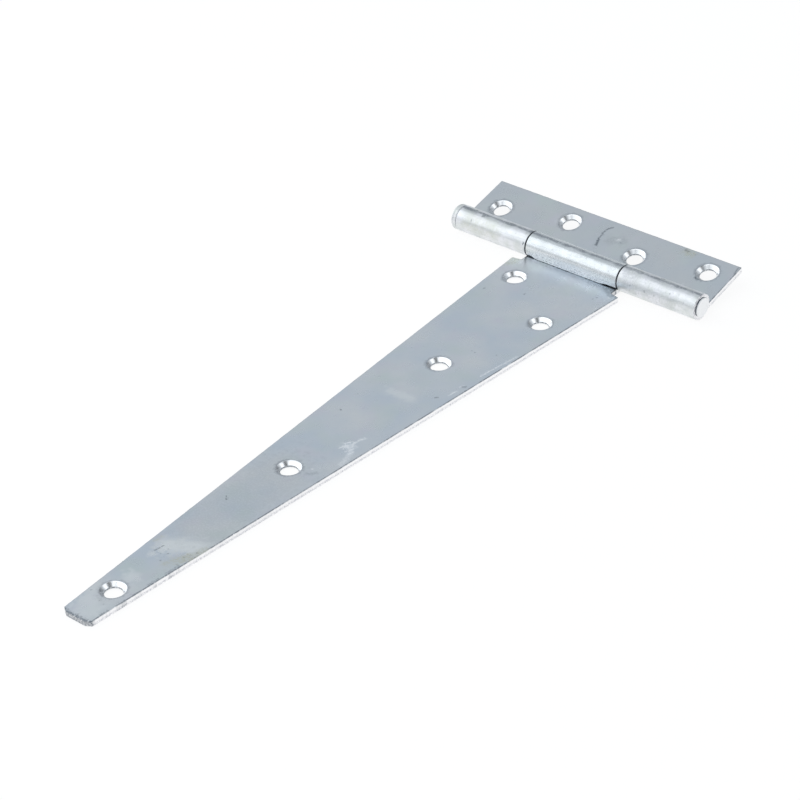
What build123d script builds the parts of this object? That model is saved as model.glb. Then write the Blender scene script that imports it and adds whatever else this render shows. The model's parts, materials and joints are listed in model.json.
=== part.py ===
from build123d import *
import math
import os

os.makedirs("parts", exist_ok=True)

# Tee hinge of galvanised steel: a long tapered strap leaf and a short cross leaf on one pin.
# Millimetres. X runs along the pin, -Y towards the tip of the strap, +Z to the countersunk side.
# The origin is on the strap's underside, below the pin and midway along the centre knuckle.

# Sheet and barrel
sheet = 2.5
pin_diameter = 6.5
running_clearance = 0.07
centre_knuckle_length = 48.2
left_knuckle_length = 38.5
right_knuckle_length = 39.5
knuckle_gap = 0.6
seam_gap = 0.5
edge_round = 0.3

# Strap leaf
strap_reach = 300.0
shoulder_width = 57.0
shoulder_clearance = 3.0
shoulder_slope = 0.8
tip_width = 14.4
tip_clip_across = 2.4
tip_clip_along = 1.5

# Cross leaf, turned up about the pin from the plane of the strap
leaf_lift = 13.0
leaf_length = 129.4
leaf_reach = 31.0
cutout_clearance = 2.4
head_relief_clearance = 0.6

# Hinge pin
head_length = 3.0
head_inset = 0.1
head_round = 1.1
formed_end_spread = 1.2
formed_end_length = 0.8
formed_end_round = 0.35
end_play = 0.1

# Countersunk screw holes: two aside near the strap's shoulders, three along its axis and four
# zigzag in the cross leaf, each set from the edge that it was punched from
hole_diameter = 7.2
hole_land = 0.95
countersink_angle = 90.0
left_hole_from_edge = 11.4
left_hole_from_shoulder = 13.3
right_hole_from_edge = 14.0
right_hole_from_shoulder = 36.4
first_axis_hole_from_shoulder = 84.9
last_axis_hole_from_tip = 19.4
middle_axis_hole_shift = 2.2
leaf_inner_pitch = 38.8
leaf_outer_hole_from_end = 11.3
leaf_front_row_from_barrel = 9.9
leaf_rear_row_from_edge = 9.2

# Worked out from the above
pin_radius = pin_diameter / 2
bore_radius = pin_radius + running_clearance
barrel_radius = bore_radius + sheet
centre_knuckle_end = centre_knuckle_length / 2
outer_knuckle_start = centre_knuckle_end + knuckle_gap
barrel_left = -outer_knuckle_start - left_knuckle_length
barrel_right = outer_knuckle_start + right_knuckle_length
shoulder_reach = barrel_radius + shoulder_clearance
cutout_reach = barrel_radius + cutout_clearance
leaf_left = barrel_left - head_length
leaf_middle = leaf_left + leaf_length / 2
head_radius = barrel_radius - head_inset
head_relief_reach = head_radius + head_relief_clearance
formed_end_radius = pin_radius + formed_end_spread
hole_radius = hole_diameter / 2
countersink_depth = sheet - hole_land
countersink_radius = hole_radius + countersink_depth * math.tan(math.radians(countersink_angle / 2))

# A roll starts at the bottom of the barrel and turns until its outer corner stands the seam's gap
# above the leaf's upper face, short of a full turn.
barrel_bottom = -90
roll_end_height = sheet + seam_gap - barrel_radius
roll_end_angle = math.degrees(math.asin(roll_end_height / barrel_radius))
roll_turn = 360 + barrel_bottom - roll_end_angle

# Section planes cut across the pin, with x out along the leaf and y up from it. Base planes lie
# on a leaf's underside, with x along the pin and y to the rear.
axis_point = (0, 0, barrel_radius)
lift = math.radians(leaf_lift)
strap_section = Plane(origin=axis_point, x_dir=(0, -1, 0), z_dir=(-1, 0, 0))
strap_base = Plane(origin=axis_point, x_dir=(1, 0, 0), z_dir=(0, 0, 1)).offset(-barrel_radius)
leaf_section = Plane(
    origin=axis_point, x_dir=(0, math.cos(lift), math.sin(lift)), z_dir=(1, 0, 0)
)
leaf_base = Plane(
    origin=axis_point, x_dir=(1, 0, 0), z_dir=(0, -math.sin(lift), math.cos(lift))
).offset(-barrel_radius)


def rolled_knuckle(section, start, length):
    """The leaf's sheet rolled round the pin: from the bottom of the barrel it turns up on the
    side away from the leaf, over the top, and down to a seam above the leaf's upper face. The
    barrel's two rims are rounded as the leaf's are."""
    with BuildPart() as knuckle:
        with BuildSketch(section.offset(start)):
            with BuildLine():
                outer = CenterArc((0, 0), barrel_radius, barrel_bottom, -roll_turn)
                inner = CenterArc((0, 0), bore_radius, barrel_bottom, -roll_turn)
                Line(outer @ 0, inner @ 0)
                Line(outer @ 1, inner @ 1)
            make_face()
        extrude(amount=length)
        rims = knuckle.edges().filter_by(GeomType.CIRCLE).group_by(SortBy.RADIUS)[-1]
        fillet(rims, edge_round)
    return knuckle.part


def sheared_rims(flat, base):
    """The edges round both faces of a flat leaf, apart from those where its rolls begin."""
    rims = flat.faces().filter_by(Axis(base.origin, base.z_dir)).edges()
    roll_starts = rims.filter_by_position(Axis(base.origin, base.y_dir), -edge_round, edge_round)
    return rims - roll_starts


def screw_hole():
    """A hole through a leaf for a countersunk screw, sunk from the leaf's upper face."""
    CounterSinkHole(hole_radius, countersink_radius, counter_sink_angle=countersink_angle)


# Strap leaf: one tapered sheet, necked to the centre knuckle, its tip clipped at both corners
strap_end = -strap_reach
shoulder_line = -shoulder_reach
first_axis_hole = shoulder_line - first_axis_hole_from_shoulder
last_axis_hole = strap_end + last_axis_hole_from_tip
middle_axis_hole = (first_axis_hole + last_axis_hole) / 2 + middle_axis_hole_shift
strap_holes = (
    (left_hole_from_edge - shoulder_width / 2, shoulder_line - left_hole_from_shoulder),
    (shoulder_width / 2 - right_hole_from_edge, shoulder_line - right_hole_from_shoulder),
    (0, first_axis_hole),
    (0, middle_axis_hole),
    (0, last_axis_hole),
)
with BuildPart() as strap_leaf:
    with BuildSketch(strap_base):
        with BuildLine():
            Polyline(
                (0, 0),
                (centre_knuckle_end, 0),
                (centre_knuckle_end, shoulder_line),
                (shoulder_width / 2, shoulder_line - shoulder_slope),
                (tip_width / 2, strap_end + tip_clip_along),
                (tip_width / 2 - tip_clip_across, strap_end),
                (0, strap_end),
            )
            mirror(about=Plane.YZ)
        make_face()
    extrude(amount=sheet)
    fillet(sheared_rims(strap_leaf, strap_base), edge_round)
    add(rolled_knuckle(strap_section, -centre_knuckle_end, centre_knuckle_length))
    with Locations(strap_base.offset(sheet)):
        with Locations(strap_holes):
            screw_hole()

# Cross leaf: one short sheet with a roll at each end of the barrel, cut out between them for the
# centre knuckle and relieved at the left for the head of the pin. The right knuckle stands a
# little past the leaf, as the hammering of the pin left it.
leaf_outer_hole = leaf_length / 2 - leaf_outer_hole_from_end
leaf_inner_hole = leaf_inner_pitch / 2
leaf_front_row = barrel_radius + leaf_front_row_from_barrel
leaf_rear_row = leaf_reach - leaf_rear_row_from_edge
leaf_holes = (
    (leaf_middle - leaf_outer_hole, leaf_front_row),
    (leaf_middle - leaf_inner_hole, leaf_rear_row),
    (leaf_middle + leaf_inner_hole, leaf_front_row),
    (leaf_middle + leaf_outer_hole, leaf_rear_row),
)
with BuildPart() as cross_leaf:
    with BuildSketch(leaf_base):
        with Locations((leaf_middle, leaf_reach / 2)):
            Rectangle(leaf_length, leaf_reach)
        Rectangle(2 * outer_knuckle_start, 2 * cutout_reach, mode=Mode.SUBTRACT)
        with Locations((leaf_left, 0)):
            Rectangle(2 * head_length, 2 * head_relief_reach, mode=Mode.SUBTRACT)
    extrude(amount=sheet)
    fillet(sheared_rims(cross_leaf, leaf_base), edge_round)
    add(rolled_knuckle(leaf_section, barrel_left, left_knuckle_length))
    add(rolled_knuckle(leaf_section, outer_knuckle_start, right_knuckle_length))
    with Locations(leaf_base.offset(sheet)):
        with Locations(leaf_holes):
            screw_hole()

# Hinge pin: a rod with a head at its left end, its right end hammered over the last knuckle
head_face = barrel_left - end_play
formed_face = barrel_right + end_play
with BuildPart() as hinge_pin:
    with BuildSketch(Plane.XY.offset(barrel_radius)):
        with BuildLine():
            Polyline(
                (leaf_left, 0),
                (leaf_left, head_radius),
                (head_face, head_radius),
                (head_face, pin_radius),
                (formed_face, pin_radius),
                (formed_face, formed_end_radius),
                (formed_face + formed_end_length, formed_end_radius),
                (formed_face + formed_end_length, 0),
                close=True,
            )
        make_face()
    revolve(axis=Axis(axis_point, (1, 0, 0)))
    end_faces = hinge_pin.faces().sort_by(Axis.X)
    head_rim = end_faces[0].edges()
    formed_rim = end_faces[-1].edges()
    fillet(head_rim, head_round)
    fillet(formed_rim, formed_end_round)

for piece, name in (
    (strap_leaf, "strap_leaf"),
    (cross_leaf, "cross_leaf"),
    (hinge_pin, "hinge_pin"),
):
    piece.part.label = name
    export_step(piece.part, "parts/" + name + ".step")
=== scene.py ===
import itertools
import json
import math

import bpy
import numpy as np
from mathutils import Matrix, Vector
from mathutils.geometry import delaunay_2d_cdt


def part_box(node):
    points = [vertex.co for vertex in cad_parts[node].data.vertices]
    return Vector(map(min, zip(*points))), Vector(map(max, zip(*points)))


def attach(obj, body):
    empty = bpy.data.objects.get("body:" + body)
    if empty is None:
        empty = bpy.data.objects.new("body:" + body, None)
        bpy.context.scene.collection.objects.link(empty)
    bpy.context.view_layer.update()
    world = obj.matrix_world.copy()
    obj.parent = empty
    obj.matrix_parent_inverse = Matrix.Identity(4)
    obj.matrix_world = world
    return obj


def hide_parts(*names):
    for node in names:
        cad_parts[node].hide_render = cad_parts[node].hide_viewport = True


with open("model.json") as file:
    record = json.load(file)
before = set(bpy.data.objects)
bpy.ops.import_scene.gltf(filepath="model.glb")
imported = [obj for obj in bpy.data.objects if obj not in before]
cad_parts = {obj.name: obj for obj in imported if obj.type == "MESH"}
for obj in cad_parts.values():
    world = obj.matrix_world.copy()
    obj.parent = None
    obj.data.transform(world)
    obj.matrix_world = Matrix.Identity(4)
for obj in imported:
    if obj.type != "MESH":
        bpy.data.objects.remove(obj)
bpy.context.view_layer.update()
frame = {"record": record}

# Strap leaf: the long tapered leaf, sheared from steel sheet and dipped in zinc. Its necked root
# is rolled round the pin as the centre knuckle, and five screw holes are countersunk in its face.
# Lengths are in millimetres until a mesh is made.
sheet = 2.5
seam_gap = 0.5
knuckle_gap = 0.6
centre_knuckle_length = 48.2
shoulder_clearance = 3.0
shoulder_slope = 0.8
tip_width = 14.4
tip_clip_across = 2.4
tip_clip_along = 1.5
hole_land = 0.95
countersink_spread = 1.55
corner_radius = 0.45
millimetre = 0.001

strap_low, strap_high = (np.array(corner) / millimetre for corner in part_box("strap_leaf"))
barrel_radius = round(strap_high[2] / 2, 2)
strap_reach = -strap_low[1]
shoulder_half = strap_high[0]
shoulder_line = barrel_radius + shoulder_clearance

# A roll runs from the bottom of the barrel to a seam just over the leaf's upper face.
roll_turn = 1.5 * math.pi - math.asin((sheet + seam_gap - barrel_radius) / barrel_radius)
roll_radius = barrel_radius - sheet / 2
roll_length = roll_turn * roll_radius


def grain(points, size, seed):
    """Smooth noise from -1 to 1. Each corner of a lattice of that size gets a fixed value, the
    fraction of a large sine of its place, and a point blends its eight corners' values."""
    cell = points / size
    base = np.floor(cell)
    part = cell - base
    blend = part * part * (3 - 2 * part)
    value = np.zeros(points.shape[:-1])
    for corner in itertools.product((0, 1), repeat=3):
        share = np.where(corner, blend, 1 - blend).prod(-1)
        wave = np.sin((base + corner) @ (127.1, 311.7, 74.7) + seed) * 43758.5453
        value += share * (wave - np.floor(wave))
    return 2 * value - 1


def rounded_outline(corners, radius, step):
    """A closed outline with rounded corners: each side is cut into equal steps, and each corner
    is an arc that turns from one side's normal to the next's. Gives points and outward normals."""
    corners = np.array(corners, float)
    ahead = np.roll(corners, -1, 0) - corners
    length = np.hypot(ahead[:, 0], ahead[:, 1])
    along = ahead / length[:, None]
    facing = np.arctan2(-along[:, 0], along[:, 1])
    turn = (facing - np.roll(facing, 1) + math.pi) % (2 * math.pi) - math.pi
    reach = radius * np.tan(abs(turn) / 2)
    points = []
    normals = []
    for i, corner in enumerate(corners):
        angle = facing[i - 1] + turn[i] * np.linspace(0, 1, 6)
        normal = np.stack([np.cos(angle), np.sin(angle)], 1)
        bend = radius * np.sign(turn[i])
        centre = corner - along[i - 1] * reach[i] - bend * normal[0]
        points.append(centre + bend * normal)
        normals.append(normal)
        side = length[i] - reach[i] - reach[(i + 1) % len(corners)]
        stops = np.linspace(0, side, max(2, math.ceil(side / step)) + 1)[1:-1]
        points.append(corner + along[i] * (reach[i] + stops)[:, None])
        normals.append(np.repeat(normal[-1:], len(stops), 0))
    return np.concatenate(points), np.concatenate(normals)


def carried(path, normals, profile):
    """A profile of (distance out, height) rows carried along a closed path: each row is the path
    moved out along its normals, at the row's height."""
    out = profile[:, :1, None]
    flat = path[None] + normals[None] * out
    height = np.broadcast_to(profile[:, 1:2], flat.shape[:2])
    return np.dstack([flat, height])


def joined_rows(rows, columns, first):
    """Quads between neighbouring rows of a grid whose columns close into a ring."""
    start = first + np.arange(rows - 1)[:, None] * columns + np.arange(columns)[None]
    right = first + np.arange(rows - 1)[:, None] * columns + (np.arange(columns)[None] + 1) % columns
    return np.stack([start, right, right + columns, start + columns], -1).reshape(-1, 4)


def filled(rings, inner):
    """Triangles that fill a flat between rings of points, the first one outside and the rest
    round holes, through the inner points. Numbers run through the rings and then the inner
    points."""
    points = np.concatenate([*rings, inner])
    edges = []
    first = 0
    for ring in rings:
        turn = np.arange(len(ring))
        edges.append(first + np.stack([turn, (turn + 1) % len(ring)], 1))
        first += len(ring)
    edges = np.concatenate(edges).tolist()
    inside_edges, nearness = 1, 1e-6
    out = delaunay_2d_cdt([Vector(p) for p in points], edges, [], inside_edges, nearness)
    origin = np.array([ids[0] for ids in out[3]])
    triangles = origin[np.array(out[2])]
    middle = points[triangles].mean(1)
    open_hole = np.zeros(len(middle), bool)
    for ring in rings[1:]:
        centre = ring.mean(0)
        open_hole |= np.hypot(*(middle - centre).T) < np.hypot(*(ring[0] - centre))
    return triangles[~open_hole]


def clear_of(points, ring, distance):
    """True for each point inside a ring and further than the distance from it. A ray to the
    right crosses the ring an odd number of times from inside."""
    start, end = ring, np.roll(ring, -1, 0)
    clear = np.zeros(len(points), bool)
    # About 2000 points at a time, to spare memory
    for part in np.array_split(np.arange(len(points)), max(1, len(points) // 2000)):
        p = points[part][:, None]
        over = (start[None, :, 1] > p[..., 1]) != (end[None, :, 1] > p[..., 1])
        rise = np.where(end[:, 1] == start[:, 1], 1.0, end[:, 1] - start[:, 1])
        cross = start[None, :, 0] + (p[..., 1] - start[None, :, 1]) / rise * (end - start)[None, :, 0]
        inside = (over & (cross > p[..., 0])).sum(1) % 2 == 1
        near = np.hypot(*(p - start[None]).transpose(2, 0, 1)).min(1)
        clear[part] = inside & (near > distance)
    return clear


def lattice(low, high, across, along):
    """Points of a slightly staggered lattice over a box, one pace across and another along."""
    x, y = np.meshgrid(np.arange(low[0], high[0], across), np.arange(low[1], high[1], along))
    x = x + across / 2 * (np.arange(len(x))[:, None] % 2)
    return np.stack([x.ravel(), y.ravel()], 1)


def rolled(blank, side, lift):
    """Lays a flat blank (across, along from the roll's start, height) on the hinge. Past the start
    the sheet wraps the pin: the way along its middle is an angle from the barrel's bottom, and
    height goes towards the pin. The leaf is then turned up by its lift about the pin."""
    x, along, height = blank[:, 0], blank[:, 1], blank[:, 2]
    angle = np.maximum(-along, 0) / roll_radius
    radius = barrel_radius - height
    out = np.maximum(along, 0) - radius * np.sin(angle)
    rise = -radius * np.cos(angle)
    turned_out = out * math.cos(lift) - rise * math.sin(lift)
    turned_rise = out * math.sin(lift) + rise * math.cos(lift)
    return np.stack([x, side * turned_out, turned_rise + barrel_radius], 1)


# The sheared edge, as (distance out, height) from the lower face to the upper: torn rough below,
# a fine step where the cut gave way to the tear, cut smooth above, and rolled over at the top.
edge_profile = np.array(
    [(-0.4, 0), (-0.25, 0), (-0.1, 0.02), (-0.02, 0.1)]
    + [(0, height) for height in np.linspace(0.25, 0.95, 5)]
    + [(-0.06, 1.02), (0, 1.1), (0, 1.5), (0, 1.9), (-0.02, 2.15)]
    + [(-0.08, 2.33), (-0.18, 2.44), (-0.3, 2.49), (-0.42, sheet)]
)
edge_height = edge_profile[:, 1]
edge_rows = {
    "torn": (edge_height > 0.05) & (edge_height < 1.0),
    "sheared": (edge_height > 0.05) & (edge_height < 2.4),
    "sunk": np.zeros(len(edge_profile)),
    # painted shade: a dark line along the rolled-over top
    "bruised": np.clip((edge_height - 2.1) / 0.2, 0, 1) * (edge_height < sheet),
    "grimy": np.zeros(len(edge_profile)),
}

# The hole, as (distance out from its wall, height): a short straight land, with shade painted on
# its upper part where it meets the 90 degree cone above it.
hole_profile = np.array(
    [(-0.35, 0), (-0.25, 0), (-0.06, 0.05), (0, 0.2), (0, 0.5), (0, hole_land - 0.04)]
    + [(0, hole_land)]
    + [(-share * countersink_spread, hole_land + share * countersink_spread)
       for share in (0.03, 0.2, 0.4, 0.6, 0.8, 0.93)]
    + [(-countersink_spread - 0.04, sheet - 0.03), (-countersink_spread - 0.16, sheet)]
    + [(-countersink_spread - 0.3, sheet)]
)
hole_height = hole_profile[:, 1]
hole_rows = {
    "sheared": np.zeros(len(hole_profile)),
    "sunk": (hole_height > 0.1) & (hole_height < sheet - 0.05),
    # painted shade: a dark line round the countersink's top rim
    "bruised": 0.5 * (hole_height > sheet - 0.05),
    "grimy": 0.9 * ((hole_height > 0.4) & (hole_height <= hole_land)),
}


def mark_share(flat, marks):
    """How far each point lies in a mark, from 0 to the mark's strength. A mark is a half width, a
    strength and the places that it runs through, and its side is ragged by noise."""
    share = np.zeros(len(flat))
    ragged = 1 + 0.55 * grain(np.column_stack([flat, flat[:, 0]]), 0.45, 7.0)
    for half_width, strength, *stops in marks:
        start = np.array(stops, float)
        run = np.array(stops[1:] + stops[-1:], float) - start
        from_start = flat[:, None] - start[None]
        part = (from_start * run).sum(-1) / np.maximum((run * run).sum(-1), 1e-9)
        off = from_start - run * np.clip(part, 0, 1)[..., None]
        away = np.hypot(off[..., 0], off[..., 1]).min(1) / half_width
        share = np.maximum(share, strength * np.clip((1.4 - away * ragged) / 0.8, 0, 1))
    return share


def mark_points(marks):
    """Points for the leaf's face to be cut at: along each mark under a millimetre of half width,
    and in rings round them. Points nearer to each other than about 0.16 mm become one."""
    points = []
    for half_width, strength, *stops in marks:
        if half_width > 1:
            continue
        stops = np.array(stops, float)
        reach = np.hypot(*np.diff(stops, axis=0).T).sum()
        pace = np.linspace(0, len(stops) - 1, 2 + int(reach / half_width / 0.7))
        line = np.stack([np.interp(pace, np.arange(len(stops)), stops[:, i]) for i in (0, 1)], 1)
        swing = np.linspace(0, 2 * math.pi, 7)[:-1]
        for away in (0.55, 1.1, 1.7):
            ring = away * half_width * np.stack([np.cos(swing + away), np.sin(swing + away)], 1)
            points.append((line[:, None] + ring[None]).reshape(-1, 2))
        points.append(line)
    points = np.concatenate(points)
    kept = np.unique(np.round(points / 0.16).astype(int), axis=0, return_index=True)[1]
    return points[kept]


# How closely the blank is cut up, across and along: finely on the outside of the roll, where the
# zinc's waves and the rollers' marks stand up, and coarsely on the flats.
outline_pace = 0.5
roll_outside_pace = (0.42, 0.3)
roll_inside_pace = (1.6, 0.45)
flat_pace = (1.4, 1.2)
rim_margin, hole_margin = 0.25, 0.3
hole_sides = 96


def leaf_mesh(name, corners, holes, marks, side, lift):
    """A leaf from its blank: the edge profile carried round the outline, the hole profile round
    each hole, both faces filled with triangles, and the whole worn and rolled round the pin. The
    marks have points of their own in the face."""
    path, normals = rounded_outline(corners, corner_radius, outline_pace)
    rim = carried(path, normals, edge_profile)
    rough = 0.05 * grain(rim, 0.7, 1.0) + 0.03 * grain(rim, 0.3, 2.0) - 0.04
    burr = np.maximum(0.06 * grain(rim, 1.2, 3.0) + 0.04 * grain(rim, 0.4, 4.0), 0)
    rough = rough * edge_rows["torn"][:, None] + burr * edge_rows["bruised"][:, None]
    rim[..., :2] += normals[None] * rough[..., None]

    angle = -np.linspace(0, 2 * math.pi, hole_sides, endpoint=False)
    ring = np.stack([np.cos(angle), np.sin(angle)], 1)
    grids = [rim]
    for x, along, radius in holes:
        grids.append(carried((x, along) + radius * ring, -ring, hole_profile))

    blank = np.concatenate([grid.reshape(-1, 3) for grid in grids])
    quads = []
    first = 0
    lower_rings, upper_rings, lower_ids, upper_ids = [], [], [], []
    for grid in grids:
        rows, columns = grid.shape[:2]
        quads.append(joined_rows(rows, columns, first))
        lower_rings.append(grid[0, :, :2])
        upper_rings.append(grid[-1, :, :2])
        lower_ids.append(first + np.arange(columns))
        upper_ids.append(first + (rows - 1) * columns + np.arange(columns))
        first += rows * columns

    low, high = path.min(0), path.max(0)
    outside, inside = (
        lattice((low[0], -roll_length), (high[0], 0.2), *pace)
        for pace in (roll_outside_pace, roll_inside_pace)
    )
    plain = lattice((low[0], 0.5), high, *flat_pace)
    spots = mark_points(marks["dark"] + marks["bright"])
    triangles = []
    for rings, ids, height, roll_points in (
        (lower_rings, lower_ids, 0.0, outside),
        (upper_rings, upper_ids, sheet, inside),
    ):
        facing_out = (spots[:, 1] < 0) == (height == 0)
        inner = np.concatenate([roll_points, plain, spots[facing_out]])
        keep = clear_of(inner, rings[0], rim_margin)
        for hole in rings[1:]:
            middle = hole.mean(0)
            keep &= np.hypot(*(inner - middle).T) > np.hypot(*(hole[0] - middle)) + hole_margin
        inner = inner[keep]
        numbers = np.concatenate([*ids, first + np.arange(len(inner))])
        faces = numbers[filled(rings, inner)]
        triangles.append(faces if height else faces[:, ::-1])
        blank = np.concatenate([blank, np.column_stack([inner, np.full(len(inner), height)])])
        first += len(inner)
    triangles = np.concatenate(triangles)
    quads = np.concatenate(quads)
    if side < 0:
        quads, triangles = quads[:, ::-1], triangles[:, ::-1]

    attributes = {"blank": blank}
    for key, rows in hole_rows.items():
        by_row = [np.repeat(edge_rows[key], rim.shape[1])]
        by_row += [np.repeat(rows, len(ring))] * len(holes)
        by_row = np.concatenate(by_row).astype(float)
        attributes[key] = np.concatenate([by_row, np.zeros(len(blank) - len(by_row))])

    # Shade is painted in each countersink on its side towards the front of the hinge, the strap's
    # tip, a little to the left: a dark reflection.
    cone = (hole_height > hole_land) & (hole_height < sheet - 0.02)
    shaded_side = np.clip(2.8 * ring @ (-0.45, -0.89 * side) - 1.4, 0, 1)
    dark_side_shade = np.tile(0.6 * np.outer(cone, shaded_side).ravel(), len(holes))
    at_holes = rim.shape[0] * rim.shape[1]
    attributes["grimy"][at_holes : at_holes + len(dark_side_shade)] += dark_side_shade
    shaped = worn(blank, attributes, marks, side, lift)
    return piece(name, rolled(shaped, side, lift), [quads, triangles], attributes)


def stripe(value, middle, half_width, waver=0):
    """How far each value lies in a stripe: 1 up to half a half width from its middle, and from
    there evenly down to 0 at one and a half. The waver moves its sides."""
    return np.clip(1.5 - abs(value - middle) / half_width + waver, 0, 1)


def worn(blank, attributes, marks, side, lift):
    """Sets the attributes for what making and handling did at each point of the blank, and for the
    shade and reflections painted on it, and gives the blank with its small dents and lumps, as
    heights added to its own."""
    face_depth = 0.35
    outer_face = blank[:, 2] < face_depth
    on_roll = (blank[:, 1] < 0) & outer_face
    behind = side * (-blank[:, 1] / roll_radius - math.pi - lift)
    from_end = blank[:, 1] + roll_length
    across = blank * (1, 0, 0)

    # A dark reflection is painted as a band along the barrel's top, and a pale one behind it, both
    # measured in radians. The rollers left two dotted lines by the roll's end, 0.8 and 1.7 mm from
    # it. The dark lines painted along the edges' rolled-over tops fade in and out.
    waver = grain(blank * (0.4, 1, 1), 1.1, 8.0)
    dark_reflection_band = stripe(behind, 0.0, 0.13, 0.7 * waver)
    pale_reflection_crest = stripe(behind, 0.42, 0.14, 0.3 * waver)
    dots = stripe(from_end, 0.8, 0.22) * (grain(across, 0.45, 9.0) > -0.1)
    dots += 0.8 * stripe(from_end, 1.7, 0.22) * (grain(across, 0.4, 15.0) > 0.0)
    faded = np.clip(0.85 + 0.7 * grain(blank, 4.0, 10.0) + 0.4 * grain(blank, 0.9, 11.0), 0, 1)
    attributes["bruised"] = np.maximum(attributes["bruised"] * faded, (0.8 * dark_reflection_band + dots) * on_roll)
    attributes["rolled"] = on_roll.astype(float)

    # The marks lie on the seen face. The centre roll's end is crushed to a pale crust. Shade is
    # painted on the sheared faces in the seam at the roll's end, lighter and specked in its middle,
    # and in the gaps between the knuckles.
    seen_face = np.where(blank[:, 1] < 0, outer_face, blank[:, 2] > sheet - face_depth)
    for kind, places in marks.items():
        attributes[kind] = mark_share(blank[:, :2], places) * seen_face
    neck_side = abs(blank[:, 0]) - centre_knuckle_length / 2
    in_gap = (blank[:, 1] < 2) & (abs(neck_side - knuckle_gap / 2) < 0.5)
    middle = np.clip((blank[:, 0] + 21.5) / 2.5, 0, 1) * np.clip((19 - blank[:, 0]) / 4, 0, 1)
    crushed = 0.75 * np.clip(1.6 - from_end / 3.5, 0, 1) * (neck_side < 0)
    # The pale painted reflection joins the bright attribute, with the crushed crust.
    attributes["bright"] = np.maximum(attributes["bright"], np.maximum(0.35 * pale_reflection_crest, crushed) * on_roll)
    specks = np.clip(0.4 + 1.2 * grain(across, 0.5, 14.0), 0, 1)
    gap_shade_and_marks = np.where(from_end < 0.4, 1 - middle * (1 - 0.7 * specks), in_gap)
    gap_shade_and_marks = np.maximum(gap_shade_and_marks, mark_share(blank[:, :2], marks["dark"]))
    attributes["dark"] = np.maximum(attributes["dark"], 0.9 * attributes["sheared"] * gap_shade_and_marks)

    # The zinc stands a little proud in waves and lumps on the outside of the roll. Dark marks are
    # dents and bright ones crumbs. The middle of the centre roll's end was hammered out straight
    # and down, until it all but closed the seam.
    wave = 0.03 * grain(blank * (0.25, 1, 1), 3.0, 5.0) + 0.012 * grain(blank, 1.2, 6.0)
    raised = 0.03 * attributes["bright"] - 0.05 * attributes["dark"]
    closed = np.clip(0.19 + 0.05 * grain(across, 1.5, 12.0) + 0.05 * grain(across, 0.5, 13.0), 0, 0.24)
    shaped = blank.copy()
    shaped[:, 2] -= wave * on_roll
    shaped[:, 2] += np.where(outer_face, -1, 1) * raised
    shaped[:, 2] -= 0.55 * middle * np.clip(1 - from_end / 3.2, 0, 1) ** 2
    shaped[:, 1] -= closed * middle * np.clip(1 - from_end / 1.2, 0, 1)
    # The shade painted in the holes joins the dark attribute.
    attributes["dark"] = np.maximum(attributes["dark"], attributes.pop("grimy"))
    return shaped


def piece(name, points, faces, attributes):
    """A smooth shaded mesh object of points in millimetres, with faces as arrays of point numbers
    and one number or place for each point under each attribute's name."""
    mesh = bpy.data.meshes.new(name)
    mesh.vertices.add(len(points))
    mesh.vertices.foreach_set("co", (points * millimetre).astype(np.float32).ravel())
    loops = np.concatenate([group.ravel() for group in faces])
    sizes = np.concatenate([np.full(len(group), group.shape[1]) for group in faces])
    mesh.loops.add(len(loops))
    mesh.loops.foreach_set("vertex_index", loops.astype(np.int32))
    mesh.polygons.add(len(sizes))
    starts = np.concatenate([[0], np.cumsum(sizes)[:-1]])
    mesh.polygons.foreach_set("loop_start", starts.astype(np.int32))
    mesh.update(calc_edges=True)
    mesh.validate()
    mesh.shade_smooth()
    for key, values in attributes.items():
        kind, field = ("FLOAT", "value") if values.ndim == 1 else ("FLOAT_VECTOR", "vector")
        layer = mesh.attributes.new(key, kind, "POINT")
        layer.data.foreach_set(field, values.astype(np.float32).ravel())
    made = bpy.data.objects.new(name, mesh)
    bpy.context.scene.collection.objects.link(made)
    return made


def linear(code):
    """An sRGB hex colour as linear red, green, blue and full alpha."""
    parts = np.array([int(code[i : i + 2], 16) for i in (1, 3, 5)]) / 255
    curve = np.where(parts <= 0.04045, parts / 12.92, ((parts + 0.055) / 1.055) ** 2.4)
    return (*curve.tolist(), 1.0)


def add_node(tree, kind, inputs, **settings):
    """One node with its settings. Each input is a value or the output socket linked to it."""
    node = tree.nodes.new(kind)
    for key, value in settings.items():
        setattr(node, key, value)
    for key, value in inputs.items():
        if isinstance(value, bpy.types.NodeSocket):
            tree.links.new(value, node.inputs[key])
        else:
            node.inputs[key].default_value = value
    return node


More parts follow.
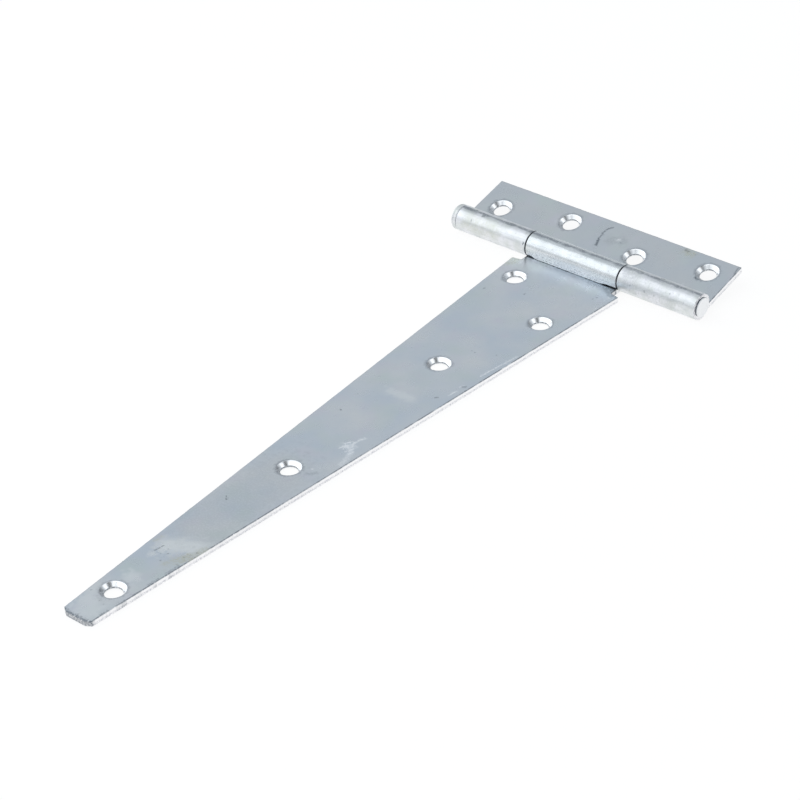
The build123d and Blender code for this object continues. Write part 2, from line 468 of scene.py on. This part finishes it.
def galvanised_steel(name, flat_blue, flat_grey, roll_pale, roll_grey, roll_roughness):
    """Zinc dipped on rolled steel sheet: a soft blue grey gloss with faint clouds of bluer, greener
    and mauver grey, paler and duller where the sheet was rolled up, near white and grainy where it
    was sheared, and cleanest in the countersinks, which were cut after dipping."""
    material = bpy.data.materials.new(name)
    material.use_nodes = True
    tree = material.node_tree
    tree.nodes.clear()
    place = add_node(tree, "ShaderNodeAttribute", {}, attribute_name="blank").outputs["Vector"]
    height = add_node(tree, "ShaderNodeSeparateXYZ", {0: place}).outputs["Z"]
    sheared, sunk, on_roll, bruised, dark, bright, pale, stain = (
        add_node(tree, "ShaderNodeAttribute", {}, attribute_name=key).outputs["Fac"]
        for key in ("sheared", "sunk", "rolled", "bruised", "dark", "bright", "pale", "stain")
    )

    # Noise over the leaf's own blank, each with the millimetres that its features measure and its
    # detail. The tear's real grit is some 0.2 mm, and 0.6 mm is the finest that shows here.
    noise = {}
    for key, size, detail in (
        ("clouds", 30.0, 3.0), ("green clouds", 17.0, 2.0), ("mauve clouds", 11.0, 2.0),
        ("freckles", 1.3, 2.0), ("dull clouds", 6.0, 3.0), ("greenish clouds", 9.0, 2.0),
        ("crust", 1.6, 4.0), ("soil", 0.9, 3.0), ("fine", 0.8, 3.0), ("grit", 0.6, 3.0),
        ("gloss", 5.0, 3.0), ("skin", 2.2, 2.0),
    ):
        noise[key] = add_node(tree, "ShaderNodeTexNoise", {
            "Vector": place, "Scale": 1 / size, "Detail": detail}).outputs["Fac"]
    drawn = add_node(tree, "ShaderNodeVectorMath", {
        0: place, 1: (1 / 8, 1, 1)}, operation="MULTIPLY").outputs[0]
    noise["roller streaks"] = add_node(tree, "ShaderNodeTexNoise", {
        "Vector": drawn, "Scale": 1 / 0.9, "Detail": 3.0}).outputs["Fac"]

    def coated(colour, coats):
        """The colour with coats laid over it in turn. A coat shows as far as its mask times its
        pattern, whose values from low to high are brought to bottom to top."""
        for over, mask, pattern, (low, high, bottom, top) in coats:
            patchy = add_node(tree, "ShaderNodeMapRange", {
                "Value": pattern, "From Min": low, "From Max": high, "To Min": bottom, "To Max": top})
            cover = add_node(tree, "ShaderNodeMath", {
                0: mask, 1: patchy.outputs[0]}, operation="MULTIPLY")
            colour = add_node(tree, "ShaderNodeMix", {
                0: cover.outputs[0], 6: colour, 7: over}, data_type="RGBA").outputs[2]
        return colour

    whole = (0.0, 1.0, 0.0, 1.0)
    flat = coated(linear(flat_blue), [
        (linear(flat_grey), 1.0, noise["clouds"], (0.38, 0.62, 0.0, 1.0)),
        (linear("#D3DEDC"), 1.0, noise["green clouds"], (0.52, 0.72, 0.0, 0.6)),
        (linear("#DAD9E4"), 1.0, noise["mauve clouds"], (0.55, 0.75, 0.0, 0.5)),
        (linear("#A9B0B6"), 1.0, noise["freckles"], (0.68, 0.75, 0.0, 0.2)),
    ])
    dull = coated(linear(roll_pale), [
        (linear(roll_grey), 1.0, noise["dull clouds"], (0.42, 0.62, 0.0, 1.0)),
        (linear("#BEC5C9"), 1.0, noise["roller streaks"], (0.5, 0.68, 0.0, 0.35)),
        (linear("#D6DED8"), 1.0, noise["greenish clouds"], (0.56, 0.7, 0.0, 0.5)),
        (linear("#A9AFB3"), 1.0, noise["crust"], (0.6, 0.75, 0.0, 0.4)),
    ])

    # Below the step at mid height the sheared edge is torn, with more of the grit and less gloss.
    grit_share, edge_roughness = (
        add_node(tree, "ShaderNodeMapRange", {
            "Value": height, "From Min": 1.15, "From Max": 0.85, "To Min": above, "To Max": below,
        }).outputs[0]
        for above, below in ((0.06, 0.7), (0.38, 0.55))
    )
    torn = coated(linear("#FDFDFE"), [
        (linear("#C9CAD3"), grit_share, noise["grit"], (0.42, 0.62, 0.0, 1.0))])

    # Bright marks are crumbs of loose zinc, paler and less metallic than the rest. The same white
    # paints the crushed crust at the roll's end and a pale reflection behind each barrel's top.
    crumbly = add_node(tree, "ShaderNodeMapRange", {
        "Value": noise["grit"], "From Min": 0.42, "From Max": 0.54, "To Min": 0.25, "To Max": 1.0})
    crumbs_and_sheen = add_node(tree, "ShaderNodeMath", {
        0: bright, 1: crumbly.outputs[0]}, operation="MULTIPLY").outputs[0]
    metal = add_node(tree, "ShaderNodeMapRange", {"Value": crumbs_and_sheen, "To Min": 1.0, "To Max": 0.15})
    colour = coated(flat, [
        (dull, on_roll, 1.0, whole),
        (torn, sheared, 1.0, whole),
        (linear("#F2F4F6"), sunk, 1.0, whole),
        # Painted shade along the rolled-over edges and countersink rims, a painted dark reflection along
        # each barrel's top, and the rollers' dotted lines
        (linear("#8A9098"), bruised, noise["fine"], (0.3, 0.5, 0.3, 1.0)),
        (linear("#EEF2F3"), pale, 1.0, whole),
        (linear("#D0D2C4"), stain, noise["soil"], (0.4, 0.62, 0.35, 1.0)),
        (linear("#F4F7FA"), crumbs_and_sheen, 1.0, whole),
        # Dark marks, and painted shade in the seam, the knuckle gaps, the holes' lands, the
        # countersinks' front sides, and on the pin between the knuckles and under its hammered end
        (linear("#7A828A"), dark, noise["fine"], (0.35, 0.55, 0.35, 1.0)),
    ])

    roughness = add_node(tree, "ShaderNodeMapRange", {
        "Value": noise["gloss"], "From Min": 0.3, "From Max": 0.7, "To Min": 0.26, "To Max": 0.34,
    }).outputs[0]
    for mask, rough in ((on_roll, roll_roughness), (sunk, 0.24), (sheared, edge_roughness), (dark, 0.6)):
        roughness = add_node(tree, "ShaderNodeMix", {0: mask, 2: roughness, 3: rough}).outputs[0]

    # Waves of the dipped skin, crust that stands up most on the rolls, and grit in the sheared edge
    crusty = add_node(tree, "ShaderNodeMapRange", {
        "Value": on_roll, "To Min": 0.08, "To Max": 2 * roll_roughness})
    crust, grit = (
        add_node(tree, "ShaderNodeMath", {0: mask, 1: pattern}, operation="MULTIPLY")
        for mask, pattern in ((crusty.outputs[0], noise["crust"]), (sheared, noise["grit"]))
    )
    bumps = add_node(tree, "ShaderNodeBump", {
        "Height": noise["skin"], "Strength": 0.2, "Distance": 0.02 * millimetre})
    for raised, strength, depth in ((crust, 0.35, 0.12), (grit, 0.5, 0.2)):
        bumps = add_node(tree, "ShaderNodeBump", {
            "Height": raised.outputs[0], "Strength": strength, "Distance": depth * millimetre,
            "Normal": bumps.outputs[0]})
    shader = add_node(tree, "ShaderNodeBsdfPrincipled", {
        "Base Color": colour, "Metallic": metal.outputs[0], "Roughness": roughness,
        "Normal": bumps.outputs[0]})
    add_node(tree, "ShaderNodeOutputMaterial", {"Surface": shader.outputs[0]})
    return material


strap_zinc = galvanised_steel(
    "bright_galvanised_steel", flat_blue="#D2DBE4", flat_grey="#DFE3E6",
    roll_pale="#E6EBEE", roll_grey="#DCE2E5", roll_roughness=0.27,
)
holes_of = {"strap": [], "cross": []}
for mount in frame["record"]["mounts"]:
    if mount["kind"] == "bore":
        holes_of[mount["name"].split("_")[0]].append((mount["pos_m"], mount["dims"]["r_mm"]))
strap_holes = [(x / millimetre, -y / millimetre, radius) for (x, y, z), radius in holes_of["strap"]]

neck = centre_knuckle_length / 2
strap_corners = [
    (neck, -roll_length),
    (neck, shoulder_line),
    (shoulder_half, shoulder_line + shoulder_slope),
    (tip_width / 2, strap_reach - tip_clip_along),
    (tip_width / 2 - tip_clip_across, strap_reach),
]
strap_corners += [(-x, along) for x, along in reversed(strap_corners)]

# Marks that handling and dipping left, and a few that paint shade: half width, strength and
# places (across, along the leaf).
strap_marks = {
    "dark": [
        (0.4, 0.8, (-5.1, 30.8)), (0.35, 0.6, (-22.1, 37.2)), (0.35, 0.5, (4.7, 78.3)),
        (0.35, 0.5, (6.6, 78.6)), (0.3, 0.4, (14.9, 74.9)), (0.35, 0.7, (-10.2, 142.9)),
        (0.3, 0.4, (-12.4, 130.2)), (0.4, 0.6, (14.8, 114.0), (15.4, 113.2)),
        (0.3, 0.7, (-6.7, 213.1), (-5.2, 214.9)), (0.4, 0.6, (-6.4, 285.6)),
        (0.3, 0.7, (-4.5, 254.5), (-3.9, 250.2)), (0.4, 0.6, (0.9, 252.9)),
        (0.35, 0.5, (-1.3, 254.5)), (0.4, 0.5, (1.7, 257.5)), (0.3, 0.5, (-1.0, 250.8)),
        (0.4, 0.7, (9.5, 246.1)), (0.35, 0.5, (8.6, 248.6)), (0.35, 0.4, (7.4, 251.0)),
        (0.5, 0.5, (18.6, 101.6), (19.6, 100.6)), (0.3, 0.6, (24.2, 10.9)),
        # The spot at (24.1, 5.6) and the two wide strokes after it paint shade where the seam ends at
        # the gap beside the neck.
        (0.35, 0.8, (20.6, 17.0)), (0.3, 0.9, (21.4, 15.2)), (0.6, 1.0, (24.1, 5.6)),
        (0.95, 0.5, (21.4, 5.2), (23.4, 7.4), (26.2, 9.4)), (0.3, 0.5, (26.6, 12.0)),
        (0.95, 0.35, (20.6, 7.4), (22.8, 9.4), (25.4, 11.0)), (0.3, 0.6, (25.0, 9.6)),
        (14.0, 0.14, (0.0, 192.0), (0.0, 232.0)), (0.9, 0.3, (8.4, 184.2), (11.0, 181.4)),
        # The dashes along the near edge from 256 to 294 mm paint shade along its rolled-over top.
        (0.6, 0.45, (9.4, 256.0), (9.2, 262.0)), (0.4, 0.45, (8.8, 266.0), (8.6, 271.0)),
        (0.35, 0.5, (8.6, 275.0), (8.2, 278.5)), (0.35, 0.5, (8.1, 282.5), (7.8, 286.5)),
        (0.35, 0.45, (7.2, 290.5), (6.9, 294.0)),
        (0.8, 0.2, (-1.8, 286.6), (0.8, 287.6)), (0.35, 0.35, (0.6, 288.2)), (0.4, 0.25, (3.4, 288.9)),
        (1.0, 0.8, (-6.8, 299.2), (-4.8, 300.0), (5.6, 299.8)), (0.5, 1.0, (6.4, 299.4), (7.4, 298.2)),
    ],
    "bright": [
        (0.3, 0.8, (18.2, 109.6), (18.7, 105.3)), (0.3, 0.8, (17.9, 102.2), (18.6, 100.4)),
        (0.3, 0.7, (19.6, 91.2), (20.9, 81.8), (22.6, 70.6)),
        (1.5, 0.7, (8.6, 161.0), (9.8, 159.8)), (0.3, 0.9, (7.0, 163.6), (8.4, 160.2)),
        (0.3, 0.9, (10.6, 164.0), (11.8, 160.6)), (0.3, 0.8, (6.6, 160.0), (8.0, 157.6)),
        (0.5, 0.7, (9.6, 158.8), (9.9, 154.3), (11.1, 152.6)), (0.35, 0.8, (9.0, 156.8)),
        (1.0, 0.45, (10.4, 161.5), (12.5, 162.7), (14.3, 168.3), (14.8, 171.4)),
        (0.3, 0.9, (12.6, 164.6), (13.3, 162.0)), (0.3, 0.8, (13.0, 168.0)), (0.3, 0.7, (15.3, 167.0)),
        (0.35, 0.9, (25.6, 12.6)), (0.4, 0.6, (26.1, 22.4)), (0.4, 0.8, (7.9, 180.4)),
    ],
    "pale": [
        (4.5, 1.0, (-2.5, 249.0), (3.0, 245.5), (6.5, 244.0)), (1.6, 0.8, (-3.9, 256.4)),
        (2.0, 0.5, (-3.1, 121.0), (7.5, 120.4)), (3.0, 0.6, (0.3, 271.1)),
        (4.5, 0.55, (-2.5, 291.5), (1.5, 294.5)),
        (2.0, 0.4, (-6.0, 283.0), (-5.2, 288.0)),
    ],
    "stain": [
        (1.7, 0.6, (4.3, 258.2), (7.0, 253.3)), (2.3, 0.9, (7.4, 252.6), (9.8, 248.2), (12.0, 243.5)),
        (1.2, 0.5, (-9.3, 249.8), (-8.8, 247.0)), (2.6, 0.7, (-27.0, 10.5), (-26.8, 14.0)),
    ],
}
strap = leaf_mesh("strap_sheet", strap_corners, strap_holes, strap_marks, -1, 0.0)
strap.data.materials.append(strap_zinc)
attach(strap, "strap")
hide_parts("strap_leaf")

# Cross leaf: the short leaf, sheared from the same sheet, with a roll at each end that makes the
# outer knuckles. It lies turned up a little about the pin, and a notch clears the pin's head.
outer_knuckle_start = 24.7
cutout_clearance = 2.4
head_relief_reach = 6.32
cross_low, cross_high = (np.array(corner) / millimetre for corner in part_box("cross_leaf"))
barrel_left, barrel_right = -63.2, cross_high[0]
leaf_length = 129.4
leaf_left = cross_low[0]
leaf_right = leaf_left + leaf_length
back_axis = next(m["axis"] for m in frame["record"]["mounts"] if m["name"] == "cross_back")
leaf_lift = math.atan2(back_axis[1], -back_axis[2])
leaf_reach = 31.0
cutout_line = barrel_radius + cutout_clearance

# The right knuckle stands a millimetre past the leaf's end, and a short slope leads back to it.
cross_corners = [
    (leaf_left, leaf_reach),
    (leaf_left, head_relief_reach),
    (barrel_left, head_relief_reach),
    (barrel_left, -roll_length),
    (-outer_knuckle_start, -roll_length),
    (-outer_knuckle_start, cutout_line),
    (outer_knuckle_start, cutout_line),
    (outer_knuckle_start, -roll_length),
    (barrel_right, -roll_length),
    (barrel_right, 0.5),
    (leaf_right, 2.5),
    (leaf_right, leaf_reach),
]
cross_holes = []
for (x, y, z), radius in holes_of["cross"]:
    along = y * math.cos(leaf_lift) + (z - barrel_radius * millimetre) * math.sin(leaf_lift)
    cross_holes.append((x / millimetre, along / millimetre, radius))


def on_knuckle(x, degrees):
    """The place on the blank of a point on an outer knuckle's outside, at so many degrees up from
    the front of the barrel."""
    return x, -(math.radians(degrees + 90) + leaf_lift) * roll_radius


cross_marks = {
    "dark": [
        (0.45, 0.75, (-1.6, 27.4), (-3.1, 25.6), (-3.5, 22.6), (-2.9, 18.1)),
        (0.55, 1.0, (-2.9, 18.6), (-1.6, 14.6)),
        (2.6, 0.2, (2.6, 20.4), (7.5, 21.4)), (0.6, 0.5, (7.4, 20.7)),
        (0.6, 0.6, (35.5, 29.4), (37.0, 29.2)), (0.4, 0.5, (41.0, 28.8)),
        (0.7, 0.9, (49.0, 17.0), (50.2, 16.2)), (0.4, 0.6, (62.0, 30.2), (62.6, 26.0)),
        (0.35, 0.5, on_knuckle(31.6, 16)), (0.45, 0.8, on_knuckle(39.0, 12)),
        (0.35, 0.6, on_knuckle(44.1, 11)), (0.35, 0.5, on_knuckle(51.1, 42)),
        (0.4, 0.9, on_knuckle(-25.6, 26)), (0.3, 0.7, on_knuckle(-25.8, 18)),
        (0.5, 0.8, on_knuckle(-25.2, 97)), (0.5, 0.7, on_knuckle(-56.0, 98)),
        (0.4, 0.7, on_knuckle(-51.0, 76), on_knuckle(-50.2, 79)), (0.4, 0.5, on_knuckle(-55.0, 38)),
        (0.4, 0.5, on_knuckle(42.8, 101), on_knuckle(44.4, 104)),
        (3.2, 0.15, on_knuckle(30.0, 14), on_knuckle(52.0, 14)),
        (1.8, 0.25, on_knuckle(27.5, 56), on_knuckle(33.0, 50)),
    ],
    "bright": [
        (0.3, 0.8, (45.0, 8.0), (46.5, 11.0)), (2.4, 0.6, on_knuckle(28.6, 60), on_knuckle(33.5, 52)),
        (0.8, 1.0, (5.6, 21.8)),
    ],
    "pale": [(2.0, 0.3, (-25.0, 20.0))],
    "stain": [
        (1.8, 0.8, (36.5, 29.0), (39.5, 28.6)), (3.2, 0.4, on_knuckle(-56.0, 28), on_knuckle(-42.0, 24)),
    ],
}
cross = leaf_mesh("cross_sheet", cross_corners, cross_holes, cross_marks, 1, leaf_lift)
cross_zinc = galvanised_steel(
    "dull_galvanised_steel", flat_blue="#CFD6DC", flat_grey="#D5D9DC",
    roll_pale="#ECEEF2", roll_grey="#DEE2E2", roll_roughness=0.4,
)
cross.data.materials.append(cross_zinc)
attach(cross, "cross")
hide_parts("cross_leaf")

# Hinge pin: a zinc coated steel rod through the three knuckles. Its left end has a cheese head
# flush with the leaf's edge, and its right end is hammered over the last knuckle.
pin_low, pin_high = (np.array(corner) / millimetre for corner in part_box("hinge_pin"))
pin_radius = 3.25
end_play = 0.1
head_face = barrel_left - end_play
head_radius = barrel_radius - 0.1
ring_groove = head_face - 1.6
formed_face = barrel_right + end_play
formed_radius = 4.45
head_round, formed_round = 1.1, 0.35


def pin_mesh(name, profile, columns):
    """A profile of (place along the pin, radius) rows turned round the pin's axis, as the radius
    times the cosine and sine of an angle, and closed by a point at each end."""
    angle = np.linspace(0, 2 * math.pi, columns, endpoint=False)
    rows = profile[1:-1]
    x = np.repeat(rows[:, :1], columns, 1)
    y = rows[:, 1:] * np.cos(angle)
    z = rows[:, 1:] * np.sin(angle)
    ring = np.stack([x, y, z], -1).reshape(-1, 3)
    ends = np.array([(profile[0, 0], 0, 0), (profile[-1, 0], 0, 0)])
    points = np.concatenate([ring, ends]) + (0, 0, barrel_radius)
    quads = joined_rows(len(rows), columns, 0)
    turn = np.arange(columns)
    after = (turn + 1) % columns
    last = (len(rows) - 1) * columns
    start_fan = np.stack([after, turn, np.full(columns, len(ring))], 1)
    end_fan = np.stack([last + turn, last + after, np.full(columns, len(ring) + 1)], 1)

    # Shade is painted on the rod where it shows between the knuckles. The hammered end's flat is
    # bright, and a painted shadow makes a dark crescent under its rim, above and in front.
    x, y, z = points.T
    on_end = ((x < head_face) | (x > formed_face)).astype(float)
    shadow_crescent = (x > formed_face) & (x < pin_high[0] - 0.3) & (z - barrel_radius - y > 1.5)
    attributes = {"blank": points, "rolled": on_end, "dark": np.maximum(0.95 * (1 - on_end), shadow_crescent)}
    attributes["sunk"] = 0.7 * (x > pin_high[0] - 0.1)
    for key in ("sheared", "bruised", "bright", "pale", "stain"):
        attributes[key] = np.zeros(len(points))
    return piece(name, points, [quads, start_fan, end_fan], attributes)


pin_left, pin_right = pin_low[0], pin_high[0]
pin_profile = np.array(
    [(pin_left, 0), (pin_left, 1.5), (pin_left, 3.0), (pin_left, head_radius - head_round)]
    + [(pin_left + head_round * (1 - math.sin(a)), head_radius - head_round * (1 - math.cos(a)))
       for a in np.radians(np.linspace(84, 0, 15))]
    + [(ring_groove - 0.05, head_radius - 0.14), (ring_groove + 0.1, head_radius - 0.12)]
    + [(ring_groove + 0.25, head_radius), (head_face - 0.1, head_radius)]
    + [(head_face, head_radius - 0.1)]
    + [(head_face, pin_radius), (formed_face, pin_radius)]
    + [(formed_face, formed_radius - 0.1), (formed_face + 0.1, formed_radius)]
    + [(pin_right - formed_round * (1 - math.sin(a)), formed_radius - formed_round * (1 - math.cos(a)))
       for a in np.radians(np.linspace(0, 82, 10))]
    + [(pin_right, formed_radius - formed_round), (pin_right, 1.8), (pin_right, 0)]
)
pin = pin_mesh("pin_rod", pin_profile, 160)
pin_zinc = galvanised_steel(
    "hammered_galvanised_steel", flat_blue="#D2D9E0", flat_grey="#DADEE1",
    roll_pale="#F0F1F3", roll_grey="#E4E6E7", roll_roughness=0.6,
)
pin.data.materials.append(pin_zinc)
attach(pin, "cross")
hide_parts("hinge_pin")

# Floor: a wide white sheet that the hinge lies on. It looks white to the camera and in the
# metal's reflections, and keeps the hinge's soft shadow.
floor_mesh = bpy.data.meshes.new("floor")
reach = 4.0
floor_mesh.from_pydata(
    [(-reach, -reach, 0), (reach, -reach, 0), (reach, reach, 0), (-reach, reach, 0)],
    [], [(0, 1, 2, 3)],
)
floor = bpy.data.objects.new("floor", floor_mesh)
bpy.context.scene.collection.objects.link(floor)
white_sheet = bpy.data.materials.new("matt_white_card")
white_sheet.use_nodes = True
tree = white_sheet.node_tree
tree.nodes.clear()
light = add_node(tree, "ShaderNodeLightPath", {})
seen = add_node(tree, "ShaderNodeMath", {
    0: light.outputs["Is Camera Ray"], 1: light.outputs["Is Glossy Ray"]}, operation="MAXIMUM")
seen = add_node(tree, "ShaderNodeMath", {
    0: seen.outputs[0], 1: light.outputs["Is Transmission Ray"]}, operation="MAXIMUM")
short_of_white = 0.87
whitened = add_node(tree, "ShaderNodeMath", {
    0: seen.outputs[0], 1: short_of_white}, operation="MULTIPLY")
card = add_node(tree, "ShaderNodeBsdfDiffuse", {"Color": linear("#707070")})
glow = add_node(tree, "ShaderNodeEmission", {"Strength": whitened.outputs[0]})
both = add_node(tree, "ShaderNodeAddShader", {0: card.outputs[0], 1: glow.outputs[0]})
add_node(tree, "ShaderNodeOutputMaterial", {"Surface": both.outputs[0]})
floor_mesh.materials.append(white_sheet)

# Room: pale grey walls and ceiling, and two dark patches that the countersinks mirror: a card high
# on the right, and a doorway low behind the hinge.
world = bpy.data.worlds.new("studio")
bpy.context.scene.world = world
world.use_nodes = True
tree = world.node_tree
tree.nodes.clear()
direction = add_node(tree, "ShaderNodeTexCoord", {}).outputs["Generated"]
height = add_node(tree, "ShaderNodeSeparateXYZ", {0: direction}).outputs["Z"]
wall = add_node(tree, "ShaderNodeMapRange", {"Value": height, "From Min": 0.05, "From Max": 0.4})
shade = add_node(tree, "ShaderNodeMix", {
    0: wall.outputs[0], 6: (0.60, 0.62, 0.64, 1), 7: (0.60, 0.635, 0.67, 1)}, data_type="RGBA")
flagged = shade
for towards, edge, middle in (((0.585, -0.10, 0.80), 0.945, 0.97), ((0.10, 1.0, 0.0), 0.89, 0.94)):
    across = add_node(tree, "ShaderNodeVectorMath", {
        0: direction, 1: Vector(towards).normalized()}, operation="DOT_PRODUCT")
    flag = add_node(tree, "ShaderNodeMapRange", {
        "Value": across.outputs["Value"], "From Min": edge, "From Max": middle})
    flagged = add_node(tree, "ShaderNodeMix", {
        0: flag.outputs[0], 6: flagged.outputs[2], 7: (0.14, 0.15, 0.16, 1)}, data_type="RGBA")
light = add_node(tree, "ShaderNodeLightPath", {})
sky = add_node(tree, "ShaderNodeMix", {
    0: light.outputs["Is Camera Ray"], 6: flagged.outputs[2], 7: (1, 1, 1, 1)}, data_type="RGBA")
background = add_node(tree, "ShaderNodeBackground", {"Color": sky.outputs[2]})
add_node(tree, "ShaderNodeOutputWorld", {"Surface": background.outputs[0]})


def softbox(name, direction, distance, length, width, radiance):
    """An area lamp, that far away in that direction from the middle of the hinge, its length in
    line with the pin as near as it can be. It adds its radiance to the wall's behind it, and its
    power is four times its radiance times its area."""
    lamp = bpy.data.lights.new(name, "AREA")
    lamp.shape = "RECTANGLE"
    lamp.size = length
    lamp.size_y = width
    lamp.energy = 4 * radiance * length * width
    holder = bpy.data.objects.new(name, lamp)
    bpy.context.scene.collection.objects.link(holder)
    towards = Vector(direction).normalized()
    in_line = (Vector((1, 0, 0)) - towards * towards.x).normalized()
    turned = Matrix((in_line, towards.cross(in_line), towards)).transposed().to_4x4()
    holder.matrix_world = Matrix.Translation(Vector((0, -0.12, 0)) + towards * distance) @ turned


softbox("key_softbox", (-0.557, -0.41, 0.722), 1.4, 2.0, 1.7, 0.5)
softbox("top_softbox", (0.25, -0.48, 0.84), 1.4, 0.75, 0.75, 0.5)
softbox("right_softbox", (0.66, 0.38, 0.65), 1.4, 0.75, 0.75, 0.5)
softbox("left_softbox", (-0.94, -0.1, 0.32), 1.4, 0.8, 0.7, 0.5)

# Camera: stands as the photographer did, high on the right and far off, with a long lens. Its
# angles, aim, distance and lens were fitted to the leaves' edges and holes in the photograph.
azimuth = math.radians(42.123)
elevation = math.radians(33.702)
roll = math.radians(-3.31)
aim = Vector((1.860, -120.779, 0.0)) * millimetre
distance = 1083.4 * millimetre
back = Vector((
    math.sin(azimuth) * math.cos(elevation),
    -math.cos(azimuth) * math.cos(elevation),
    math.sin(elevation),
))
level_right = Vector((math.cos(azimuth), math.sin(azimuth), 0))
level_up = back.cross(level_right)
right = level_right * math.cos(roll) + level_up * math.sin(roll)
up = back.cross(right)
lens = bpy.data.cameras.new("camera")
lens.lens = 121.3
lens.sensor_width = 36.0
lens.clip_end = 50.0
camera = bpy.data.objects.new("camera", lens)
bpy.context.scene.collection.objects.link(camera)
turned = Matrix((right, up, back)).transposed().to_4x4()
camera.matrix_world = Matrix.Translation(aim + back * distance) @ turned
bpy.context.scene.camera = camera
bpy.context.scene.view_settings.view_transform = "Standard"
